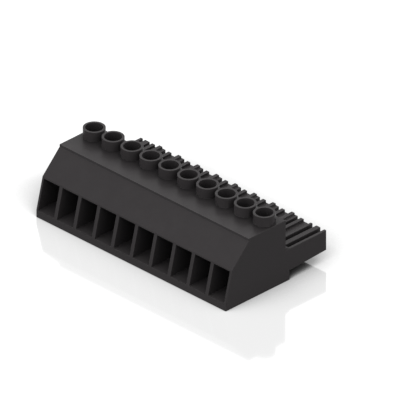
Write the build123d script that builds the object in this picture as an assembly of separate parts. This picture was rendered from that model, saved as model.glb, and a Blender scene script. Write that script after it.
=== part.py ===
from build123d import *
import os

# Pluggable screw terminal plug: one moulded housing with a row of wire pockets in front, a
# screwdriver tower over each pole and a ribbed mating section behind. Each pole holds a
# contact with an over-spring, a rising box clamp and its clamping screw.
# Millimetres. X runs along the row, the wires enter from -Y, the header plugs in from +Y.

# Row of poles
pole_count = 10
pitch = 7.62

# Housing seen from its end: depths run back from the front edge of the base
end_wall = 0.71
partition = 1.2
sill_height = 2.4
brow_height = 12.4
brow_depth = 2.49
slope_height = 19.35
slope_depth = 9.34
body_height = 20.15
body_depth = 24.25
foot_depth = 25.78
edge_break = 0.1

# Mating section behind the body
plug_length = 16.35
plug_top = 10.2
plug_underside = 3.75
underside_draft = 0.71

# Ribs and grooves along the top of the mating section, with their sides counted from the
# middle of a pole. The end poles differ, so that the plug enters its header one way only.
groove_left = 0.01
groove_right = 1.27
groove_depth = 1.6
recess_left = 2.43
recess_right = 5.19
recess_depth = 0.75
high_rib_width = 1.2
high_rib_rise = 0.52
first_recess_left = 3.44
corner_notch = 1.6
first_groove_width = 1.0
first_groove_offset = -1.01
second_groove_offset = 1.79
last_groove_width = 1.57
last_groove_offset = -0.88
outermost_groove_offset = 2.28
web_length = 1.85
web_rise = 0.85

# Screwdriver towers
tower_diameter = 6.6
tower_bore = 5.2
tower_rise = 3.05
screw_depth = 19.5

# Wire pockets
roof_thickness = 0.45
mouth_depth = 9.5
throat_roof_gap = 0.35

# Rising box clamp
clamp_wall = 0.8
clamp_floor = 0.85
clamp_head = 1.6
clamp_length = 5.0
clamp_bend = 0.35
clamp_lap = 0.7
clamp_side_gap = 0.15
clamp_end_gap = 0.1
clamp_rest_gap = 0.15
clamp_lift_gap = 0.3
thread_pitch = 0.5
clamp_turns = 7
closed_gap = 0.15
tooth_width = 0.7
tooth_depth = 0.25
tooth_count = 2

# Clamping screw
thread_diameter = 3.0
thread_clearance = 0.05
head_diameter = 4.4
head_height = 2.4
drive_slot_width = 0.8
drive_slot_depth = 1.2
screw_gap = 0.05
seat_thickness = 1.2
seat_clearance = 0.2
head_clearance = 0.15
head_headroom = 0.8
hidden_hole_sides = 8

# Contact: current bar, box and two leaves, folded from one strip
strip = 0.7
bar_width = 3.4
bar_side_gap = 0.1
bar_reach = 0.2
divider = 1.2
box_width = 3.6
box_height = 2.9
box_length = 4.0
box_bend = 0.4
box_gap = 0.15
leaf_length = 9.6
leaf_pinch = 7.4
pinch_opening = 0.84
leaf_flare = 0.4

# Over-spring clipped round the contact box
spring_strip = 0.15
spring_gap = 0.05
finger_width = 1.6
spring_overhang = 0.8
spring_lift = 0.15
cavity_gap = 0.1

# Places worked out from the sizes above
pocket_width = pitch - partition
housing_length = (pole_count - 1) * pitch + pocket_width + 2 * end_wall
overall_depth = body_depth + plug_length
front = -overall_depth / 2
back = overall_depth / 2
screw_y = front + screw_depth
half_length = housing_length / 2

clamp_travel = clamp_turns * thread_pitch
clamp_width = pocket_width - 2 * clamp_side_gap
clamp_bottom = sill_height + clamp_rest_gap
clamp_floor_top = clamp_bottom + clamp_floor
bar_underside = clamp_floor_top + clamp_travel + closed_gap
bar_top = bar_underside + strip
clamp_ceiling = bar_top + clamp_lift_gap
clamp_top = clamp_ceiling + clamp_head
throat_roof = clamp_top + throat_roof_gap
chamber_length = clamp_length + 2 * clamp_end_gap
chamber_roof = clamp_top + clamp_travel + clamp_lift_gap
seat_height = chamber_roof + seat_thickness
head_top = seat_height + screw_gap + head_height
tower_top = body_height + tower_rise

cavity_front = screw_y + chamber_length / 2 + divider
box_front = cavity_front + box_gap
box_back = box_front + box_length
pin_height = bar_top - box_height / 2
leaf_width = box_width - 2 * strip
cavity_width = box_width + 2 * (spring_gap + spring_strip + cavity_gap)
cavity_height = box_height + 2 * (spring_gap + spring_strip + cavity_gap)


def pole_x(index):
    """The middle of a pole, counted from 0 at the left."""
    return (index - (pole_count - 1) / 2) * pitch


def block(xs, ys, zs):
    """A box between two values along each axis."""
    (x0, x1), (y0, y1), (z0, z1) = xs, ys, zs
    middle = Pos((x0 + x1) / 2, (y0 + y1) / 2, (z0 + z1) / 2)
    return middle * Box(x1 - x0, y1 - y0, z1 - z0)


def across(points, width):
    """A side outline of (y, z) points, extruded evenly to both sides of X = 0."""
    face = Plane.YZ * make_face(Polyline(*points, close=True))
    return extrude(face, amount=width / 2, both=True)


def upright(radius, low, high):
    """A round post between two heights, on the line of the screws."""
    return Pos(0, screw_y, (low + high) / 2) * Cylinder(radius, high - low)


def hidden_hole(radius, low, high):
    """A hole round the screw that nobody sees, with flat sides to keep the ten copies light."""
    outline = RegularPolygon(radius, hidden_hole_sides, major_radius=False)
    return extrude(Pos(0, screw_y, low) * outline, amount=high - low)


def side_outline():
    """The housing's outline seen from its end, with its long edges broken."""
    sharp = make_face(
        Polyline(
            (front, 0),
            (front, sill_height),
            (front + brow_depth, brow_height),
            (front + slope_depth, slope_height),
            (front + slope_depth, body_height),
            (front + body_depth, body_height),
            (front + body_depth, plug_top),
            (back, plug_top),
            (back, plug_underside),
            (front + foot_depth, plug_underside - underside_draft),
            (front + foot_depth, 0),
            close=True,
        )
    )
    long_edges = [
        (front, 0),
        (front + foot_depth, 0),
        (back, plug_underside),
        (front + body_depth, body_height),
    ]
    corners = [sharp.vertices().sort_by_distance(place)[0] for place in long_edges]
    return chamfer(corners, edge_break)


def tower(index):
    """A round screwdriver tower on the body's roof."""
    return Pos(pole_x(index), 0, 0) * upright(tower_diameter / 2, body_height - edge_break, tower_top)


def screw_bore(index):
    """The tower's bore, then the head's pocket and seat and the shank's hole."""
    pocket_top = head_top + head_headroom
    bore = upright(tower_bore / 2, pocket_top, tower_top + edge_break)
    pocket = hidden_hole(head_diameter / 2 + head_clearance, seat_height, pocket_top)
    hole = hidden_hole(thread_diameter / 2 + seat_clearance, chamber_roof - edge_break, seat_height)
    return Pos(pole_x(index), 0, 0) * (bore + pocket + hole)


def wire_pocket(index):
    """The pocket from the leaning front face to the clamp chamber, as one side profile."""
    mouth_roof = brow_height - roof_thickness
    chamber_front = screw_y - chamber_length / 2
    chamber_back = screw_y + chamber_length / 2
    profile = [
        (front - edge_break, sill_height),
        (chamber_back, sill_height),
        (chamber_back, chamber_roof),
        (chamber_front, chamber_roof),
        (chamber_front, throat_roof),
        (front + mouth_depth, throat_roof),
        (front + mouth_depth, mouth_roof),
        (front - edge_break, mouth_roof),
    ]
    return Pos(pole_x(index), 0, 0) * across(profile, pocket_width)


def contact_cavity(index):
    """The cavity for a contact box, open to the rear, and the slot for its current bar."""
    half_width, half_height = cavity_width / 2, cavity_height / 2
    heights = (pin_height - half_height, pin_height + half_height)
    cavity = block((-half_width, half_width), (cavity_front, back), heights)
    slot_half = bar_width / 2 + bar_side_gap
    slot = block(
        (-slot_half, slot_half),
        (screw_y, cavity_front + box_gap),
        (bar_underside - bar_side_gap, bar_top + bar_side_gap),
    )
    return Pos(pole_x(index), 0, 0) * (cavity + slot)


def along_plug(left, right, low, high):
    """A straight bar from the body to the rear face, between two heights."""
    return block((left, right), (front + body_depth, back), (low, high))


def top_groove(left, right, depth):
    """A groove of a given depth along the top of the mating section."""
    return along_plug(left, right, plug_top - depth, plug_top + web_rise)


def end_groove(pole, offset, width):
    """A deep groove beside an end pole."""
    middle = pole_x(pole) + offset
    return top_groove(middle - width / 2, middle + width / 2, groove_depth)


def high_ribs():
    """The coding ribs that stand above the others, one beside each pole between the ends."""
    ribs = []
    for index in range(1, pole_count - 1):
        left = pole_x(index - 1) + recess_right
        foot = plug_top - recess_depth
        ribs.append(along_plug(left, left + high_rib_width, foot, plug_top + high_rib_rise))
    return ribs


def rib_grooves():
    """What is cut from the mating section's top so that its ribs stay."""
    last = pole_count - 1
    cuts = [
        top_groove(-half_length, -half_length + corner_notch, groove_depth),
        end_groove(0, first_groove_offset, first_groove_width),
        end_groove(0, second_groove_offset, first_groove_width),
        end_groove(last, last_groove_offset, last_groove_width),
        end_groove(last, outermost_groove_offset, last_groove_width),
    ]
    for index in range(last):
        x = pole_x(index)
        left = first_recess_left if index == 0 else recess_left
        cuts.append(top_groove(x + left, x + recess_right, recess_depth))
        if index > 0:
            cuts.append(top_groove(x + groove_left, x + groove_right, groove_depth))
    return cuts


def end_web():
    """The small sloping web in the outermost groove, between the body and the end wall."""
    start = front + body_depth
    left = pole_x(pole_count - 1) + outermost_groove_offset - last_groove_width / 2
    right = half_length - edge_break
    floor = plug_top - groove_depth
    profile = [
        (start, floor),
        (start + web_length, floor),
        (start + web_length, plug_top),
        (start, plug_top + web_rise),
    ]
    return Pos((left + right) / 2, 0, 0) * across(profile, right - left)


def build_housing():
    """The one-piece moulding."""
    body = extrude(Plane.YZ * side_outline(), amount=half_length, both=True)
    ends = body.faces().sort_by(Axis.X)
    body = chamfer(ends[0].edges() + ends[-1].edges(), edge_break)
    poles = range(pole_count)
    body = body + high_ribs() - rib_grooves()
    body = body + [tower(index) for index in poles] + [end_web()]
    body = body - [screw_bore(index) for index in poles]
    body = body - [wire_pocket(index) for index in poles]
    return body - [contact_cavity(index) for index in poles]


def build_clamp():
    """A box clamp folded from strip, its ends lapped under the thread, its floor toothed."""
    half = clamp_width / 2
    sharp = Pos(0, (clamp_bottom + clamp_top) / 2) * Rectangle(clamp_width, clamp_top - clamp_bottom)
    outer = chamfer(sharp.vertices(), clamp_bend)
    inner = Pos(0, (clamp_floor_top + clamp_ceiling) / 2) * Rectangle(
        clamp_width - 2 * clamp_wall, clamp_ceiling - clamp_floor_top
    )
    lap = Pos(-half + clamp_lap / 2, clamp_top - clamp_head / 4) * Rectangle(clamp_lap, clamp_head / 2)
    section = Plane.XZ * (outer - inner - lap)
    clamp = Pos(0, screw_y, 0) * extrude(section, amount=clamp_length / 2, both=True)
    hole = hidden_hole(thread_diameter / 2 + thread_clearance, clamp_ceiling, clamp_top)
    spacing = clamp_length / (tooth_count + 1)
    half_tooth = tooth_width / 2
    teeth = []
    for index in range(tooth_count):
        y = screw_y - clamp_length / 2 + (index + 1) * spacing
        vee = [
            (y - half_tooth, clamp_floor_top),
            (y, clamp_floor_top - tooth_depth),
            (y + half_tooth, clamp_floor_top),
        ]
        teeth.append(across(vee, clamp_width - 2 * clamp_wall))
    return clamp - hole - teeth


def build_screw():
    """A slotted screw with a cylindrical head, its thread left plain."""
    under_head = seat_height + screw_gap
    shank = upright(thread_diameter / 2, bar_top + screw_gap, under_head)
    head = upright(head_diameter / 2, under_head, head_top)
    slot = block(
        (-head_diameter, head_diameter),
        (screw_y - drive_slot_width / 2, screw_y + drive_slot_width / 2),
        (head_top - drive_slot_depth, head_top),
    )
    return shank + head - slot


def leaf(side):
    """One contact leaf, above the pin for side 1 and below it for side -1."""
    pinch = pinch_opening / 2
    heights = [box_height / 2 - strip, pinch, pinch + leaf_flare]
    depths = [box_back, box_back + leaf_pinch, box_back + leaf_length]
    inner = [(y, pin_height + side * z) for y, z in zip(depths, heights)]
    outer = [(y, z + side * strip) for y, z in reversed(inner)]
    return across(inner + outer, leaf_width)


def build_contact():
    """Current bar, box and leaves in one piece."""
    bar_front = screw_y - clamp_length / 2 - bar_reach
    bar = block(
        (-bar_width / 2, bar_width / 2),
        (bar_front, box_front),
        (bar_underside, bar_top),
    )
    sleeve = Plane.XZ * Pos(0, pin_height) * (
        chamfer(Rectangle(box_width, box_height).vertices(), box_bend)
        - Rectangle(box_width - 2 * strip, box_height - 2 * strip)
    )
    box = Pos(0, box_back, 0) * extrude(sleeve, amount=box_length)
    return bar + box + leaf(1) + leaf(-1)


def prong(side):
    """One finger of the over-spring, lying along a leaf and turned up past its pinch."""
    root = box_height / 2 + spring_gap
    pressed = pinch_opening / 2 + strip + spring_gap
    pinch_y = box_back + leaf_pinch
    inner = [
        (box_back, root),
        (pinch_y, pressed),
        (pinch_y + spring_overhang, pressed + spring_lift),
    ]
    outer = [(y, z + spring_strip) for y, z in reversed(inner)]
    points = [(y, pin_height + side * z) for y, z in inner + outer]
    return across(points, finger_width)


def build_spring():
    """A thin sleeve round the contact box with a finger on each leaf."""
    width = box_width + 2 * spring_gap
    height = box_height + 2 * spring_gap
    outer = Rectangle(width + 2 * spring_strip, height + 2 * spring_strip)
    sleeve = Plane.XZ * Pos(0, pin_height) * (outer - Rectangle(width, height))
    length = box_back - box_front - spring_overhang
    clip = Pos(0, box_back, 0) * extrude(sleeve, amount=length)
    return clip + prong(1) + prong(-1)


def save(shape, name):
    """Write one piece as a STEP file."""
    export_step(shape, f"parts/{name}.step")


os.makedirs("parts", exist_ok=True)
save(build_housing(), "housing")
contact = build_contact()
spring = build_spring()
clamp = build_clamp()
screw = build_screw()
for number in range(1, pole_count + 1):
    place = Pos(pole_x(number - 1), 0, 0)
    save(place * contact, f"contact_{number}")
    save(place * spring, f"contact_spring_{number}")
    save(place * clamp, f"clamp_yoke_{number}")
    save(place * screw, f"clamp_screw_{number}")
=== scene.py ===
import math

import bmesh
import bpy
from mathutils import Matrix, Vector


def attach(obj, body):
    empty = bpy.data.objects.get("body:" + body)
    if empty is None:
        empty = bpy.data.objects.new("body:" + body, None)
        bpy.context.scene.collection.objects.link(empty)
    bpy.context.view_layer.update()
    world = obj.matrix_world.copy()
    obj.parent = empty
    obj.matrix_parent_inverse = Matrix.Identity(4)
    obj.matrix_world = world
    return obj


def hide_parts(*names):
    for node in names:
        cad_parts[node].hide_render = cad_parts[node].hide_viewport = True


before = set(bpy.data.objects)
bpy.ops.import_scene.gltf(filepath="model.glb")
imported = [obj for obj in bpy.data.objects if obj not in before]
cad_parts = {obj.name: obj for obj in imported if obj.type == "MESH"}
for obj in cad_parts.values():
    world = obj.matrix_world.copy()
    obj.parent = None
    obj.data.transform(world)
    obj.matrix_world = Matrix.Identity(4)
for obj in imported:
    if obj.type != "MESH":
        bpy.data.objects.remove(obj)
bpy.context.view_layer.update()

MM = 0.001
POLES = range(1, 1 + sum(name.startswith("clamp_screw_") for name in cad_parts))

# Camera: the photograph is a parallel view from the front right
CAMERA_AZIMUTH = math.radians(45.0)
CAMERA_ELEVATION = math.radians(30.0)
FRAME_WIDTH = 114.02 * MM
FRAME_SIDE = 5.33 * MM
FRAME_UP = 11.14 * MM
CAMERA_DISTANCE = 0.4

# The M3 thread of the clamping screws
THREAD_PITCH = 0.5 * MM
THREAD_CREST = 1.49 * MM
THREAD_ROOT = 1.2 * MM
THREAD_SIDES = 28

# Edge rounding: moulded edges and tower rims, sheared and folded metal, the screws' heads
MOULDED_EDGE = 0.05 * MM
TOWER_RIM = 0.1 * MM
METAL_EDGE = 0.06 * MM
METAL_FOLD = 0.2 * MM
HEAD_RIM = 0.28 * MM
MOULDED_STEPS = 2
METAL_STEPS = 3

# Limits: an edge is sharp above SHARP and stands for a bend below STEEP, faces that turn less than
# FLAT are one face, a round rim's edges are shorter than RIM_EDGE, and a face over LARGE_FACE is
# shaded flat
SHARP = math.radians(30)
STEEP = math.radians(60)
FLAT = math.radians(0.5)
SAME_POINT = 0.002 * MM
SAME_HEIGHT = 0.01 * MM
RIM_EDGE = 1 * MM
LARGE_FACE = 10 * MM * MM

# Pale edges, worn and on the plastic also a painted highlight: the cosine of the rounding's turn where
# it starts and is full, and how noise thins it
EDGE_TURN = (0.985, 0.86)
EDGE_NOISE = (0.35, 0.6)
EDGE_LEFT = (0.25, 1.0)

# Dust: how far up a face has to look, and the noise between bare and covered patches
DUST_UPWARD = (0.3, 1.0)
DUST_NOISE = (0.4, 0.75)

# Painted shade in recesses: the share of open sky at which it is darkest
RECESS_CLOSED = 0.1

# Painted shade on the roof at the towers' feet: which way and how far it looks for open sky, the
# shares of sky where the shade is full and gone, its strength, and which heights and slopes are roof
TOWER_LEAN = (-0.35, 0.35, 0.87)
TOWER_REACH = 6 * MM
TOWER_SKY = (0.35, 0.95)
TOWER_SHADE = (0.55, 0.0)
ROOF_HEIGHT = (19.9 * MM, 20.1 * MM)
ROOF_LEVEL = (0.8, 0.95)

# Finishes: the usual spread of noise, the plastic's tones and gloss, the pale edge colour (worn and a
# painted highlight), dust, the painted shade of recesses, how much brighter worn metal is, and the
# stretch that makes drawing marks run along Y
NOISE_SPREAD = (0.3, 0.7)
PLASTIC_TONES = (0.0438, 0.0402, 0.0416, 1), (0.0489, 0.0449, 0.0465, 1)
PLASTIC_ROUGHNESS = (0.3, 0.38)
PLASTIC_SPECULAR = 0.05
# The next colour is painted shade, for the plastic's hollows and the roof at the towers' feet
PLASTIC_PAINTED_SHADE = (0.004, 0.004, 0.004, 1)
# The next colour is a pale edge, partly worn and partly a painted highlight
PALE_EDGE_WORN_AND_HIGHLIGHT = (0.1, 0.097, 0.097, 1)
DUST_FILM = (0.16, 0.155, 0.15, 1)
# The next colour is painted shade for the metal's hollows, such as screw slots and the insides of boxes
METAL_PAINTED_SHADE = (0.01, 0.01, 0.01, 1)
METAL_WORN = 1.15
MARKS_STRETCH = (1.0, 0.08, 1.0)
WHITE = (1, 1, 1, 1)

# Floor: its glow, and with it a painted shadow, follows the share of open sky it sees. SHADE looks
# towards the front right, so it is darker behind the object, and CONTACT straight up, so it is darker
# under its overhangs
FLOOR_RADIUS = 6.0
FLOOR_REACH = 22 * MM
FLOOR_LEAN = (0.5, -0.65, 0.57)
FLOOR_SHADE = [
    (0.0, 0.03), (0.3, 0.04), (0.45, 0.12), (0.6, 0.33), (0.75, 0.6), (0.88, 0.87), (0.96, 0.98), (1.0, 1.0)
]
FLOOR_CONTACT = [(0.0, 0.05), (0.2, 0.12), (0.32, 0.26), (0.42, 0.63), (0.5, 0.83), (0.97, 1.0), (1.0, 1.0)]
FLOOR_BOUNCE = (0.05, 0.05, 0.05, 1)
FLOOR_ROUGHNESS = 0.9
MIRROR_SHARE = 0.13
MIRROR_BLUR = 0.09

# Light: what the white surrounding gives as light, and the point that the lamps face
WORLD_LIGHT = 0.9
LAMP_TARGET = Vector((0, 0, 10 * MM))


def link(obj):
    """Put a new object into the scene."""
    bpy.context.scene.collection.objects.link(obj)
    return obj


# Shader helpers


def new_material(name):
    """A node material with its Principled shader; returns the material, its tree and the shader."""
    material = bpy.data.materials.new(name)
    material.use_nodes = True
    tree = material.node_tree
    return material, tree, tree.nodes["Principled BSDF"]


def put(tree, kind, **values):
    """Add a node; keywords set its properties, and its inputs by name with spaces as underscores."""
    node = tree.nodes.new(kind)
    for key, value in values.items():
        if hasattr(node, key):
            setattr(node, key, value)
        else:
            node.inputs[key.replace("_", " ")].default_value = value
    return node


def feed(tree, given, socket):
    """Link a socket to an input, or write a plain value into it."""
    if isinstance(given, bpy.types.NodeSocket):
        tree.links.new(given, socket)
    else:
        socket.default_value = given


def new_group(name, inputs, outputs):
    """A shader node group with named float inputs, given as (name, default), and float outputs."""
    group = bpy.data.node_groups.new(name, "ShaderNodeTree")
    for label, default in inputs:
        socket = group.interface.new_socket(label, in_out="INPUT", socket_type="NodeSocketFloat")
        socket.default_value = default
    for label in outputs:
        group.interface.new_socket(label, in_out="OUTPUT", socket_type="NodeSocketFloat")
    return group, group.nodes.new("NodeGroupInput").outputs, group.nodes.new("NodeGroupOutput").inputs


def use_group(tree, group, **values):
    """Place a shared effect in a material with its own values; returns its outputs."""
    node = tree.nodes.new("ShaderNodeGroup")
    node.node_tree = group
    for key, value in values.items():
        node.inputs[key.replace("_", " ")].default_value = value
    return node.outputs


def calculate(tree, operation, first, second):
    """A Math node on two sockets or numbers."""
    node = put(tree, "ShaderNodeMath", operation=operation)
    feed(tree, first, node.inputs[0])
    feed(tree, second, node.inputs[1])
    return node.outputs["Value"]


def lay_colour(tree, mask, below, above):
    """Lay a colour over a colour socket, or over another colour, by a mask."""
    mix = put(tree, "ShaderNodeMix", data_type="RGBA")
    feed(tree, below, mix.inputs["A"])
    feed(tree, above, mix.inputs["B"])
    feed(tree, mask, mix.inputs["Factor"])
    return mix.outputs["Result"]


def range_of(tree, value, given, made=(0.0, 1.0)):
    """Remap a value from one range to another; their ends are numbers or sockets."""
    node = tree.nodes.new("ShaderNodeMapRange")
    for label, end in zip(("From Min", "From Max", "To Min", "To Max"), (*given, *made)):
        feed(tree, end, node.inputs[label])
    feed(tree, value, node.inputs["Value"])
    return node.outputs["Result"]


def curve_of(tree, value, points):
    """Bend a value by a curve through (in, out) points."""
    node = tree.nodes.new("ShaderNodeFloatCurve")
    curve = node.mapping.curves[0]
    for place, ends in zip(curve.points, (points[0], points[-1])):
        place.location = ends
    for given, made in points[1:-1]:
        curve.points.new(given, made)
    for place in curve.points:
        place.handle_type = "AUTO_CLAMPED"
    node.mapping.update()
    feed(tree, value, node.inputs["Value"])
    return node.outputs["Value"]


def noise_of(tree, scale, place=None, **values):
    """Noise on the object's own coordinates, or on those of a socket."""
    noise = put(tree, "ShaderNodeTexNoise", **values)
    feed(tree, place or object_place(tree), noise.inputs["Vector"])
    feed(tree, scale, noise.inputs["Scale"])
    return noise.outputs["Fac"]


def object_place(tree):
    """The object's own coordinates."""
    return tree.nodes.new("ShaderNodeTexCoord").outputs["Object"]


def surface(tree, output):
    """One of the outputs of the surface's geometry, such as its normal."""
    return tree.nodes.new("ShaderNodeNewGeometry").outputs[output]


def part_z(tree, vector):
    """The Z of a vector socket."""
    split = tree.nodes.new("ShaderNodeSeparateXYZ")
    feed(tree, vector, split.inputs["Vector"])
    return split.outputs["Z"]


def open_sky(tree, reach, lean=None, **values):
    """The share of open sky that a point sees within a reach, round its normal or a leaning line."""
    seen = put(tree, "ShaderNodeAmbientOcclusion", **values)
    feed(tree, reach, seen.inputs["Distance"])
    if lean:
        line = put(tree, "ShaderNodeCombineXYZ", **dict(zip("XYZ", lean)))
        feed(tree, line.outputs["Vector"], seen.inputs["Normal"])
    return seen.outputs["AO"]


def bump(tree, height, strength, distance):
    """A Bump node fed by a height; returns its normal."""
    node = put(tree, "ShaderNodeBump", Strength=strength, Distance=distance)
    feed(tree, height, node.inputs["Height"])
    return node.outputs["Normal"]


def seen_directly(tree):
    """1 for rays that show the surface to the eye, also mirrored or through glass, else 0."""
    path = tree.nodes.new("ShaderNodeLightPath").outputs
    through = calculate(tree, "MAXIMUM", path["Is Camera Ray"], path["Is Transmission Ray"])
    return calculate(tree, "MAXIMUM", through, path["Is Glossy Ray"])


# Effects that more than one material uses


def make_grain():
    """Fine spark-eroded or rolled grain: a height for bump and a tone that drifts over the surface."""
    group, given, made = new_group(
        "surface_grain", [("Grain Scale", 9000.0), ("Drift Scale", 60.0)], ["Height", "Tone"]
    )
    fine = noise_of(group, given["Grain Scale"], Detail=3.0, Roughness=0.6)
    broad = noise_of(group, given["Drift Scale"], Detail=4.0, Roughness=0.55)
    feed(group, fine, made["Height"])
    feed(group, broad, made["Tone"])
    return group


def make_recess_shade():
    """A mask of painted shade for deep places that little light reaches, such as pockets, bores and
    grooves.
    """
    group, given, made = new_group(
        "painted_recess_shade", [("Reach", 0.006), ("Open", 0.65), ("Amount", 1.0)], ["Mask"]
    )
    sky = open_sky(group, given["Reach"], samples=8, only_local=True)
    closed = range_of(group, sky, (RECESS_CLOSED, given["Open"]), (1.0, 0.0))
    feed(group, calculate(group, "MULTIPLY", closed, given["Amount"]), made["Mask"])
    return group


def make_edge_wear_and_highlight():
    """A mask of convex edges, broken up by noise, for worn edges and a painted highlight."""
    group, given, made = new_group(
        "edge_wear_and_highlight", [("Radius", 0.0003), ("Breakup Scale", 1500.0), ("Amount", 1.0)], ["Mask"]
    )
    rounded = put(group, "ShaderNodeBevel", samples=4)
    turn = put(group, "ShaderNodeVectorMath", operation="DOT_PRODUCT")
    feed(group, given["Radius"], rounded.inputs["Radius"])
    feed(group, rounded.outputs["Normal"], turn.inputs[0])
    feed(group, surface(group, "True Normal"), turn.inputs[1])
    edge = range_of(group, turn.outputs["Value"], EDGE_TURN)
    noise = noise_of(group, given["Breakup Scale"], Detail=4.0)
    patches = calculate(group, "MULTIPLY", edge, range_of(group, noise, EDGE_NOISE, EDGE_LEFT))
    feed(group, calculate(group, "MULTIPLY", patches, given["Amount"]), made["Mask"])
    return group


def make_dust():
    """A thin, patchy film on faces that look up."""
    group, given, made = new_group("settled_dust", [("Patch Scale", 250.0), ("Amount", 0.3)], ["Mask"])
    upward = range_of(group, part_z(group, surface(group, "Normal")), DUST_UPWARD)
    noise = noise_of(group, given["Patch Scale"], Detail=6.0, Roughness=0.7)
    cover = calculate(group, "MULTIPLY", upward, range_of(group, noise, DUST_NOISE))
    feed(group, calculate(group, "MULTIPLY", cover, given["Amount"]), made["Mask"])
    return group


def make_plating():
    """Blotches and fine scratches of a thin metal coating."""
    group, given, made = new_group(
        "plated_mottle", [("Mottle Scale", 900.0), ("Scratch Scale", 2500.0)], ["Mottle", "Scratches"]
    )
    stretch = put(group, "ShaderNodeMapping", Scale=MARKS_STRETCH)
    feed(group, object_place(group), stretch.inputs["Vector"])
    blotch = noise_of(group, given["Mottle Scale"], Detail=5.0, Roughness=0.65)
    marks = noise_of(group, given["Scratch Scale"], stretch.outputs["Vector"], Detail=2.0, Roughness=0.5)
    feed(group, blotch, made["Mottle"])
    feed(group, marks, made["Scratches"])
    return group


GRAIN = make_grain()
RECESS_SHADE_GROUP = make_recess_shade()
EDGE_WEAR_AND_HIGHLIGHT = make_edge_wear_and_highlight()
DUST = make_dust()
PLATING = make_plating()


# Materials


def tower_shade(tree):
    """A mask of painted shade on the roof at the feet of the towers, which keep the light from behind off
    it.
    """
    sky = open_sky(tree, TOWER_REACH, TOWER_LEAN, samples=8, only_local=True)
    closed = range_of(tree, sky, TOWER_SKY, TOWER_SHADE)
    high = range_of(tree, part_z(tree, object_place(tree)), ROOF_HEIGHT)
    level = range_of(tree, part_z(tree, surface(tree, "Normal")), ROOF_LEVEL)
    return calculate(tree, "MULTIPLY", calculate(tree, "MULTIPLY", high, level), closed)


def moulded_plastic():
    """Matt black polyamide with a fine eroded texture, a little paler on its edges as worn and as a painted
    highlight, with painted shade in its hollows and at its towers' feet.
    """
    material, tree, shader = new_material("moulded_black_plastic")
    shader.inputs["Specular IOR Level"].default_value = PLASTIC_SPECULAR
    grain = use_group(tree, GRAIN, Grain_Scale=7000.0, Drift_Scale=70.0)
    # Paler edges: partly worn, partly a painted highlight
    edge_mask = use_group(tree, EDGE_WEAR_AND_HIGHLIGHT, Radius=0.00025, Breakup_Scale=1200.0, Amount=0.55)
    dust = use_group(tree, DUST, Patch_Scale=260.0, Amount=0.06)
    # Painted shade in pockets, bores and grooves, by how little open sky they see
    recess_shade = use_group(tree, RECESS_SHADE_GROUP, Reach=0.012, Open=0.65, Amount=0.45)
    colour = lay_colour(tree, grain["Tone"], *PLASTIC_TONES)
    for mask, above in (
        (edge_mask["Mask"], PALE_EDGE_WORN_AND_HIGHLIGHT),
        (dust["Mask"], DUST_FILM),
        (recess_shade["Mask"], PLASTIC_PAINTED_SHADE),
        # painted shade on the roof at the towers' feet
        (tower_shade(tree), PLASTIC_PAINTED_SHADE),
    ):
        colour = lay_colour(tree, mask, colour, above)
    feed(tree, colour, shader.inputs["Base Color"])
    feed(tree, range_of(tree, grain["Tone"], NOISE_SPREAD, PLASTIC_ROUGHNESS), shader.inputs["Roughness"])
    feed(tree, bump(tree, grain["Height"], strength=0.22, distance=0.00004), shader.inputs["Normal"])
    return material


def plated_metal(name, dull, bright, roughness, marks):
    """A plated or rolled metal: mottled colour and roughness with fine drawing marks, paler worn edges, and
    painted shade in its hollows.
    """
    material, tree, shader = new_material(name)
    shader.inputs["Metallic"].default_value = 1.0
    plating = use_group(tree, PLATING, Mottle_Scale=1100.0, Scratch_Scale=9000.0)
    edge_mask = use_group(tree, EDGE_WEAR_AND_HIGHLIGHT, Radius=0.00012, Breakup_Scale=2500.0, Amount=0.6)
    # Painted shade in slots and the insides of folded boxes
    recess_shade = use_group(tree, RECESS_SHADE_GROUP, Reach=0.002, Open=0.75, Amount=0.9)
    worn = [min(1.0, value * METAL_WORN) for value in bright]
    colour = lay_colour(tree, plating["Mottle"], dull, bright)
    colour = lay_colour(tree, edge_mask["Mask"], colour, worn)
    colour = lay_colour(tree, recess_shade["Mask"], colour, METAL_PAINTED_SHADE)
    feed(tree, colour, shader.inputs["Base Color"])
    feed(tree, range_of(tree, plating["Mottle"], NOISE_SPREAD, roughness), shader.inputs["Roughness"])
    feed(tree, bump(tree, plating["Scratches"], strength=marks, distance=0.00001), shader.inputs["Normal"])
    return material


PLASTIC = moulded_plastic()
TINNED = plated_metal(
    "tinned_contact_strip",
    dull=(0.62, 0.6, 0.56, 1), bright=(0.78, 0.76, 0.71, 1), roughness=(0.24, 0.38), marks=0.25,
)
SPRING_STEEL = plated_metal(
    "bright_spring_strip",
    dull=(0.5, 0.5, 0.52, 1), bright=(0.6, 0.6, 0.61, 1), roughness=(0.16, 0.28), marks=0.3,
)
ZINC_CLAMP = plated_metal(
    "zinc_plated_clamp",
    dull=(0.5, 0.53, 0.56, 1), bright=(0.7, 0.72, 0.75, 1), roughness=(0.26, 0.42), marks=0.3,
)
ZINC_SCREW = plated_metal(
    "zinc_plated_screw",
    dull=(0.5, 0.51, 0.53, 1), bright=(0.68, 0.69, 0.7, 1), roughness=(0.2, 0.34), marks=0.2,
)


# Pieces


def welded_shape(node):
    """A solid's mesh with its loose triangles merged and its flat faces joined."""
    shape = bmesh.new()
    shape.from_mesh(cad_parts[node].data)
    bmesh.ops.remove_doubles(shape, verts=shape.verts, dist=SAME_POINT)
    bmesh.ops.dissolve_limit(
        shape, angle_limit=FLAT, verts=shape.verts, edges=shape.edges, delimit=set()
    )
    return shape


def weigh_edges(shape, plain, strong, is_strong):
    """Write each sharp edge's rounding as its share of the strongest one."""
    weight = shape.edges.layers.float.new("bevel_weight_edge")
    for edge in shape.edges:
        if len(edge.link_faces) == 2 and edge.calc_face_angle() > SHARP:
            edge[weight] = 1.0 if is_strong(edge) else plain / strong


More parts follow.
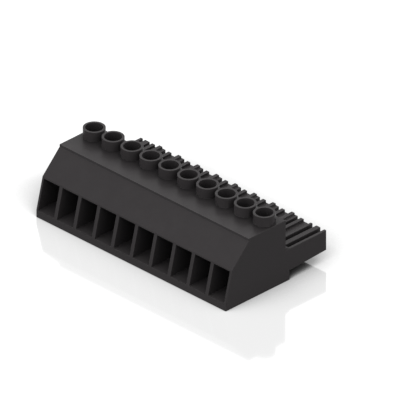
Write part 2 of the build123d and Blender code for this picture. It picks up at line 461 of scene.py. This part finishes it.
def is_fold(edge):
    """True for the shallow edges that stand for a bend in folded strip."""
    return edge.calc_face_angle() < STEEP


def at_top(shape):
    """A rule that is true for the edges of a shape's highest rim, but not for straight ones."""
    top = max(vertex.co.z for vertex in shape.verts)

    def rule(edge):
        level = all(abs(vertex.co.z - top) < SAME_HEIGHT for vertex in edge.verts)
        return level and edge.calc_length() < RIM_EDGE

    return rule


def as_piece(shape, name, material):
    """Make a finished shape into an object of the scene."""
    mesh = bpy.data.meshes.new(name)
    shape.to_mesh(mesh)
    shape.free()
    mesh.materials.append(material)
    return link(bpy.data.objects.new(name, mesh))


def round_edges(piece, strong, steps):
    """Round the weighed edges and shade the rest smooth."""
    bevel = piece.modifiers.new("edge_rounding", "BEVEL")
    bevel.width = strong
    bevel.segments = steps
    bevel.limit_method = "WEIGHT"
    bevel.use_clamp_overlap = True
    bevel.harden_normals = True
    bevel.miter_outer = "MITER_ARC"
    for polygon in piece.data.polygons:
        polygon.use_smooth = True
    piece.data.set_sharp_from_angle(angle=SHARP)


def bake_modifiers(piece):
    """Turn what the piece's modifiers make into its plain mesh."""
    graph = bpy.context.evaluated_depsgraph_get()
    mesh = bpy.data.meshes.new_from_object(piece.evaluated_get(graph))
    piece.modifiers.clear()
    piece.data = mesh


def flatten_shading(mesh):
    """Shade the large flat faces as flat, and leave the roundings between them smooth."""
    normals = [Vector(corner.vector) for corner in mesh.corner_normals]
    for polygon in mesh.polygons:
        if polygon.area > LARGE_FACE:
            for corner in polygon.loop_indices:
                normals[corner] = polygon.normal
    mesh.normals_split_custom_set(normals)


def fit(piece, node, body):
    """Hang a finished piece on its body in place of its node."""
    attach(piece, body)
    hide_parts(node)


def moulded_housing():
    """The black moulding, its tower rims rounder than its other edges."""
    shape = welded_shape("housing")
    weigh_edges(shape, MOULDED_EDGE, TOWER_RIM, at_top(shape))
    piece = as_piece(shape, "moulded_housing", PLASTIC)
    round_edges(piece, TOWER_RIM, MOULDED_STEPS)
    bake_modifiers(piece)
    flatten_shading(piece.data)
    fit(piece, "housing", "housing")


def folded_strip(node, name, body, material, bend):
    """A piece folded from strip: its bends as round as given, and its sheared edges less."""
    shape = welded_shape(node)
    weigh_edges(shape, METAL_EDGE, bend, is_fold)
    piece = as_piece(shape, name, material)
    round_edges(piece, bend, METAL_STEPS)
    bake_modifiers(piece)
    fit(piece, node, body)


def threaded_shank_tree():
    """Geometry nodes that add a threaded shank: a core with a ridge swept up a helix."""
    tree = bpy.data.node_groups.new("threaded_shank", "GeometryNodeTree")
    tree.is_modifier = True
    for label, direction, kind in (
        ("Head", "INPUT", "Geometry"),
        ("Root Radius", "INPUT", "Float"),
        ("Crest Radius", "INPUT", "Float"),
        ("Pitch", "INPUT", "Float"),
        ("Length", "INPUT", "Float"),
        ("Foot", "INPUT", "Vector"),
        ("Finish", "INPUT", "Material"),
        ("Screw", "OUTPUT", "Geometry"),
    ):
        tree.interface.new_socket(label, in_out=direction, socket_type=f"NodeSocket{kind}")
    given = tree.nodes.new("NodeGroupInput").outputs
    made = tree.nodes.new("NodeGroupOutput").inputs
    turns = calculate(tree, "DIVIDE", given["Length"], given["Pitch"])
    height = calculate(tree, "SUBTRACT", given["Crest Radius"], given["Root Radius"])
    middle = calculate(tree, "MULTIPLY", given["Length"], 0.5)
    raise_core = tree.nodes.new("ShaderNodeCombineXYZ")
    helix = put(tree, "GeometryNodeCurveSpiral", Resolution=THREAD_SIDES)
    upright = put(tree, "GeometryNodeSetCurveNormal", mode="Z_UP")
    ridge = put(tree, "GeometryNodeCurvePrimitiveQuadrilateral", mode="KITE")
    sweep = put(tree, "GeometryNodeCurveToMesh", Fill_Caps=True)
    core = put(tree, "GeometryNodeMeshCylinder", Vertices=THREAD_SIDES)
    lifted = tree.nodes.new("GeometryNodeTransform")
    shank = tree.nodes.new("GeometryNodeJoinGeometry")
    placed = tree.nodes.new("GeometryNodeTransform")
    whole = tree.nodes.new("GeometryNodeJoinGeometry")
    real = tree.nodes.new("GeometryNodeRealizeInstances")
    finish = tree.nodes.new("GeometryNodeSetMaterial")
    for start, end in (
        (middle, raise_core.inputs["Z"]),
        (turns, helix.inputs["Rotations"]),
        (given["Root Radius"], helix.inputs["Start Radius"]),
        (given["Root Radius"], helix.inputs["End Radius"]),
        (given["Length"], helix.inputs["Height"]),
        (given["Pitch"], ridge.inputs["Width"]),
        (height, ridge.inputs["Top Height"]),
        (height, ridge.inputs["Bottom Height"]),
        (helix.outputs["Curve"], upright.inputs["Curve"]),
        (upright.outputs["Curve"], sweep.inputs["Curve"]),
        (ridge.outputs["Curve"], sweep.inputs["Profile Curve"]),
        (given["Root Radius"], core.inputs["Radius"]),
        (given["Length"], core.inputs["Depth"]),
        (core.outputs["Mesh"], lifted.inputs["Geometry"]),
        (raise_core.outputs["Vector"], lifted.inputs["Translation"]),
        (sweep.outputs["Mesh"], shank.inputs["Geometry"]),
        (lifted.outputs["Geometry"], shank.inputs["Geometry"]),
        (shank.outputs["Geometry"], placed.inputs["Geometry"]),
        (given["Foot"], placed.inputs["Translation"]),
        (placed.outputs["Geometry"], whole.inputs["Geometry"]),
        (given["Head"], whole.inputs["Geometry"]),
        (whole.outputs["Geometry"], real.inputs["Geometry"]),
        (real.outputs["Geometry"], finish.inputs["Geometry"]),
        (given["Finish"], finish.inputs["Material"]),
        (finish.outputs["Geometry"], made["Screw"]),
    ):
        tree.links.new(start, end)
    return tree


def slotted_screw(pole, tree):
    """One clamping screw: its slotted head with a broken rim, on a threaded shank."""
    node = f"clamp_screw_{pole}"
    shape = welded_shape(node)
    tip, under_head = sorted({round(vertex.co.z, 6) for vertex in shape.verts})[:2]
    centre = sum((vertex.co for vertex in shape.verts), Vector()) / len(shape.verts)
    shank = [vertex for vertex in shape.verts if vertex.co.z < under_head - SAME_HEIGHT]
    bmesh.ops.delete(shape, geom=shank, context="VERTS")
    bmesh.ops.holes_fill(shape, edges=[edge for edge in shape.edges if edge.is_boundary])
    weigh_edges(shape, METAL_EDGE, HEAD_RIM, at_top(shape))
    piece = as_piece(shape, f"slotted_screw_{pole}", ZINC_SCREW)
    round_edges(piece, HEAD_RIM, METAL_STEPS)
    values = {
        "Root Radius": THREAD_ROOT,
        "Crest Radius": THREAD_CREST,
        "Pitch": THREAD_PITCH,
        "Length": under_head - tip,
        "Foot": (centre.x, centre.y, tip),
        "Finish": ZINC_SCREW,
    }
    thread = piece.modifiers.new("threaded_shank", "NODES")
    thread.node_group = tree
    for socket in tree.interface.items_tree:
        if socket.name in values:
            thread[socket.identifier] = values[socket.name]
    bake_modifiers(piece)
    # Joining head and shank leaves an empty material slot, so the slots are written again
    piece.data.materials.clear()
    piece.data.materials.append(ZINC_SCREW)
    fit(piece, node, f"screw_{pole}")


moulded_housing()
THREADED_SHANK = threaded_shank_tree()
for pole in POLES:
    for node, name, body, slot, material, bend in (
        ("contact", "tinned_contact", "housing", "contact_metal", TINNED, METAL_FOLD),
        ("contact_spring", "over_spring", "housing", "spring_steel", SPRING_STEEL, METAL_EDGE),
        ("clamp_yoke", "box_clamp", f"clamp_{pole}", "clamp_steel", ZINC_CLAMP, METAL_FOLD),
    ):
        folded_strip(f"{node}_{pole}", f"{name}_{pole}", body, material, bend)
    slotted_screw(pole, THREADED_SHANK)


# Floor, light and camera


def white_floor():
    """A white floor with a painted soft shadow and a faint mirror image of what stands on it."""
    # One triangle, because a second one's edge would show as a line in the shadow
    corners = [
        (FLOOR_RADIUS * math.cos(math.radians(angle)), FLOOR_RADIUS * math.sin(math.radians(angle)), 0)
        for angle in (90, 210, 330)
    ]
    mesh = bpy.data.meshes.new("floor")
    mesh.from_pydata(corners, [], [(0, 1, 2)])
    floor = link(bpy.data.objects.new("floor", mesh))
    material, tree, shader = new_material("studio_floor")
    shader.inputs["Base Color"].default_value = FLOOR_BOUNCE
    shader.inputs["Roughness"].default_value = FLOOR_ROUGHNESS
    behind = curve_of(tree, open_sky(tree, FLOOR_REACH, FLOOR_LEAN, samples=16), FLOOR_SHADE)
    under = curve_of(tree, open_sky(tree, FLOOR_REACH, samples=16), FLOOR_CONTACT)
    glow = put(tree, "ShaderNodeEmission", Color=WHITE)
    # The glow's strength is the painted shadow
    feed(tree, calculate(tree, "MULTIPLY", behind, under), glow.inputs["Strength"])
    mirror = put(tree, "ShaderNodeBsdfGlossy", Roughness=MIRROR_BLUR, Color=WHITE)
    seen = put(tree, "ShaderNodeMixShader", Fac=MIRROR_SHARE)
    feed(tree, glow.outputs["Emission"], seen.inputs[1])
    feed(tree, mirror.outputs["BSDF"], seen.inputs[2])
    choice = tree.nodes.new("ShaderNodeMixShader")
    feed(tree, seen_directly(tree), choice.inputs["Fac"])
    feed(tree, shader.outputs["BSDF"], choice.inputs[1])
    feed(tree, seen.outputs["Shader"], choice.inputs[2])
    feed(tree, choice.outputs["Shader"], tree.nodes["Material Output"].inputs["Surface"])
    mesh.materials.append(material)


def studio_world():
    """White to the eye and in reflections, a plain grey level as light."""
    world = bpy.data.worlds.new("studio")
    bpy.context.scene.world = world
    world.use_nodes = True
    tree = world.node_tree
    background = tree.nodes["Background"]
    background.inputs["Color"].default_value = WHITE
    strength = range_of(tree, seen_directly(tree), (0.0, 1.0), (WORLD_LIGHT, 1.0))
    feed(tree, strength, background.inputs["Strength"])


def soft_light(name, place, size, power):
    """A square studio lamp that faces the object."""
    data = bpy.data.lights.new(name, "AREA")
    data.size = size
    data.energy = power
    lamp = link(bpy.data.objects.new(name, data))
    lamp.location = place
    lamp.rotation_euler = (LAMP_TARGET - Vector(place)).to_track_quat("-Z", "Y").to_euler()


def photograph_camera():
    """The parallel camera of the photograph."""
    sin_a, cos_a = math.sin(CAMERA_AZIMUTH), math.cos(CAMERA_AZIMUTH)
    sin_e, cos_e = math.sin(CAMERA_ELEVATION), math.cos(CAMERA_ELEVATION)
    back = Vector((sin_a * cos_e, -cos_a * cos_e, sin_e))
    right = Vector((cos_a, sin_a, 0))
    up = Vector((-sin_a * sin_e, cos_a * sin_e, cos_e))
    data = bpy.data.cameras.new("camera")
    data.type = "ORTHO"
    data.ortho_scale = FRAME_WIDTH
    data.clip_start = 0.01
    data.clip_end = 10
    camera = link(bpy.data.objects.new("camera", data))
    camera.location = right * FRAME_SIDE + up * FRAME_UP + back * CAMERA_DISTANCE
    camera.rotation_euler = (-back).to_track_quat("-Z", "Y").to_euler()
    bpy.context.scene.camera = camera


white_floor()
studio_world()
soft_light("key", place=(-0.14, -0.62, 0.5), size=0.5, power=1.1)
soft_light("rear", place=(-0.49, 0.49, 0.41), size=0.5, power=0.75)
photograph_camera()
bpy.context.scene.view_settings.view_transform = "Standard"
